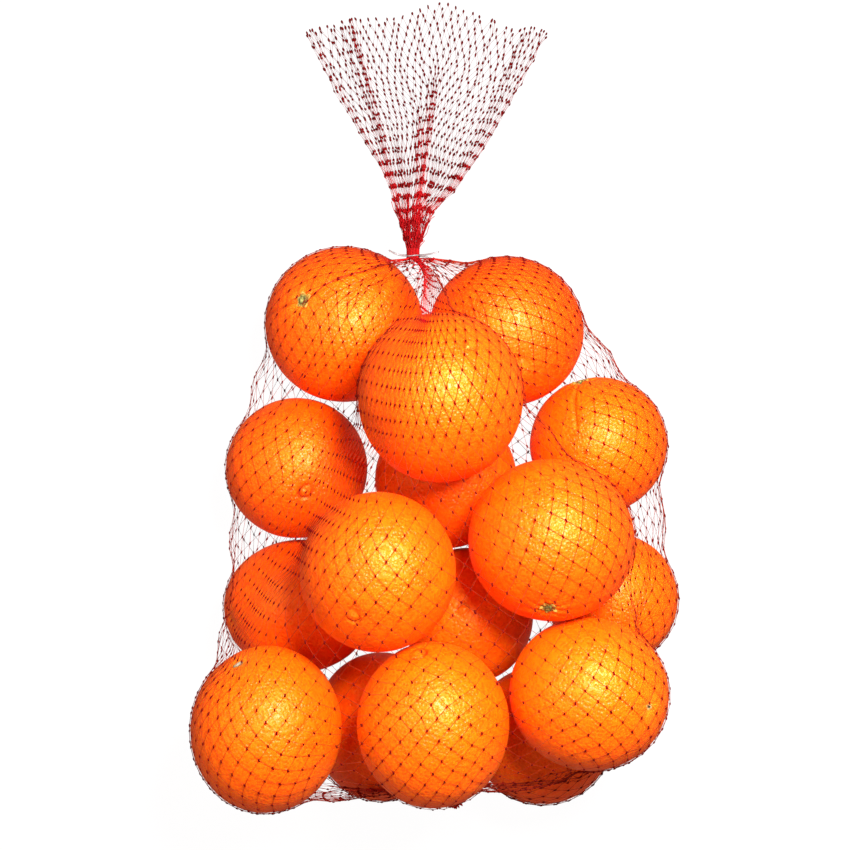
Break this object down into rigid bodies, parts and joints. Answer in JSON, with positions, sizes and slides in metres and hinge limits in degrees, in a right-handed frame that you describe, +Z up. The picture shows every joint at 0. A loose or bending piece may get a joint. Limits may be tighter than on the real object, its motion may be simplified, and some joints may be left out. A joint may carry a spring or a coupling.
{
  "type": "net of oranges",
  "caption": "Tubular plastic mesh bag packed with whole citrus fruit, tied at the neck, with a loose fanned tail, lying on its back.",
  "frame": {"origin": "middle of the footprint, on the surface the bag lies on", "axes": "+Z up through the shown side, +Y from the closed base to the fanned tail, +X to the right seen from above with the tail away from the viewer"},
  "size_m": [0.249, 0.4284, 0.1442],
  "materials": {
    "fruit_in_net": "waxy pored citrus peel, seen through a thin red plastic mesh",
    "net_plastic": "thin extruded red plastic strands with small thick knots",
    "tie_plastic": "thin milky translucent plastic"
  },
  "bodies": {
    "root": {"net": "fruit_in_net", "tie": "tie_plastic", "tie_base": "tie_plastic"}
  },
  "joints": []
}
